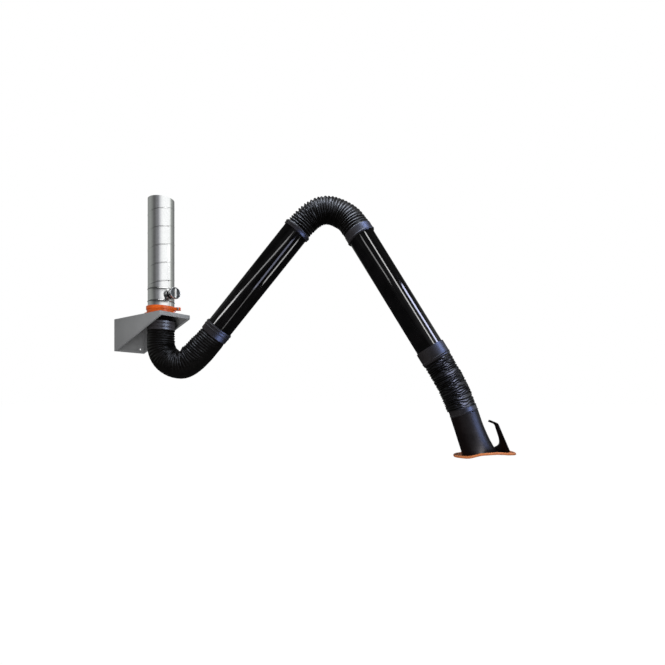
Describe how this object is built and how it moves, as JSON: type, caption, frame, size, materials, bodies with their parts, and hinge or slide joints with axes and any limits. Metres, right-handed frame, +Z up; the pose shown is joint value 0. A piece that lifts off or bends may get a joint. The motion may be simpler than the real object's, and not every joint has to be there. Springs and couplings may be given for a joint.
{
  "type": "fume extraction arm",
  "caption": "Wall-mounted fume extraction arm: bracket with swivel and damper duct, tubes joined by ribbed hoses over internal friction hinges, and a pivoting hood with a soft rim and handle.",
  "frame": {"origin": "centre of the wall plate's back face", "axes": "+X out of the wall, +Z up, +Y along the wall"},
  "size_m": [2.2904, 1.2101, 1.6048],
  "materials": {
    "grey_paint": "satin",
    "orange_paint": "satin",
    "orange_rubber": "satin",
    "galvanised": "satin",
    "zinc_steel": "satin",
    "light_alloy": "satin",
    "black_tube": "gloss",
    "cuff_rubber": "satin",
    "hose_fabric": "satin",
    "hood_plastic": "satin",
    "white_plastic": "satin",
    "dark_plastic": "satin",
    "seal_rubber": "matte"
  },
  "bodies": {
    "bracket": {"wall_plate": "grey_paint", "console_shell": "grey_paint", "swivel_base": "orange_paint", "base_screw_1": "zinc_steel", "base_screw_2": "zinc_steel", "base_screw_3": "zinc_steel", "base_screw_4": "zinc_steel", "slide_ring": "white_plastic", "swivel_seal": "seal_rubber", "duct_spigot": "orange_paint", "clamp_band": "orange_paint", "clamp_bolt": "zinc_steel", "damper_housing": "galvanised", "damper_boss": "galvanised", "damper_bush_front": "white_plastic", "damper_bush_back": "white_plastic", "duct_coupler": "galvanised", "spiral_duct": "galvanised", "duct_screw_1": "zinc_steel", "duct_screw_2": "zinc_steel"},
    "damper": {"damper_shaft": "zinc_steel", "damper_blade": "galvanised", "damper_dial": "dark_plastic", "damper_grip": "white_plastic"},
    "swivel": {"swivel_tube": "black_tube", "swivel_cuff": "cuff_rubber", "swivel_fork_near": "zinc_steel", "swivel_fork_far": "zinc_steel", "lower_pivot_bolt": "zinc_steel", "lower_pivot_nut": "zinc_steel", "lower_disc_spring": "zinc_steel", "lower_friction_disc_near": "dark_plastic", "lower_friction_disc_far": "dark_plastic", "lower_hose": "hose_fabric"},
    "inner_arm": {"inner_tube": "black_tube", "inner_cuff_low": "cuff_rubber", "inner_cuff_high": "cuff_rubber", "lower_hinge_blade": "zinc_steel", "elbow_fork_near": "zinc_steel", "elbow_fork_far": "zinc_steel", "elbow_pivot_bolt": "zinc_steel", "elbow_pivot_nut": "zinc_steel", "elbow_disc_spring": "zinc_steel", "elbow_friction_disc_near": "dark_plastic", "elbow_friction_disc_far": "dark_plastic", "elbow_hose": "hose_fabric"},
    "outer_arm": {"outer_tube": "black_tube", "outer_cuff_high": "cuff_rubber", "outer_cuff_low": "cuff_rubber", "elbow_blade": "zinc_steel", "hood_yoke_upper": "light_alloy", "hood_hose": "hose_fabric"},
    "hood_cross": {"hood_cross": "zinc_steel"},
    "hood_carrier": {"hood_yoke_lower": "light_alloy", "hood_carrier_ring": "light_alloy", "hood_cuff": "cuff_rubber"},
    "hood": {"hood_shell": "hood_plastic", "hood_rim": "orange_rubber", "hood_handle": "hood_plastic"}
  },
  "joints": [
    {"name": "damper_turn", "type": "hinge", "parent": "bracket", "child": "damper", "pos_m": [0.374, 0, 0.2288], "axis": [1, 0, 0], "range_deg": [0, 90]},
    {"name": "arm_swivel", "type": "hinge", "parent": "bracket", "child": "swivel", "pos_m": [0.374, 0, 0.1065], "axis": [0, 0, 1], "range_deg": [-113, 56]},
    {"name": "lower_hinge", "type": "hinge", "parent": "swivel", "child": "inner_arm", "pos_m": [0.45309, 0.04294, -0.1835], "axis": [0.4772, -0.8788, 0], "range_deg": [-45, 20], "deforming": ["lower_hose"]},
    {"name": "elbow_hinge", "type": "hinge", "parent": "inner_arm", "child": "outer_arm", "pos_m": [1.32406, 0.51584, 0.70652], "axis": [0.4772, -0.8788, 0], "range_deg": [-35, 90], "deforming": ["elbow_hose"]},
    {"name": "hood_tilt", "type": "hinge", "parent": "outer_arm", "child": "hood_cross", "pos_m": [1.98705, 0.87581, -0.38498], "axis": [0.4772, -0.8788, 0], "range_deg": [-45, 60], "deforming": ["hood_hose"]},
    {"name": "hood_side", "type": "hinge", "parent": "hood_cross", "child": "hood_carrier", "pos_m": [1.98705, 0.87581, -0.38498], "axis": [0.8367, 0.4543, 0.3057], "range_deg": [-40, 40]},
    {"name": "hood_turn", "type": "hinge", "parent": "hood_carrier", "child": "hood", "pos_m": [2.02358, 0.89565, -0.51447], "axis": [0.2687, 0.1459, -0.9521], "range_deg": [-180, 180]}
  ]
}
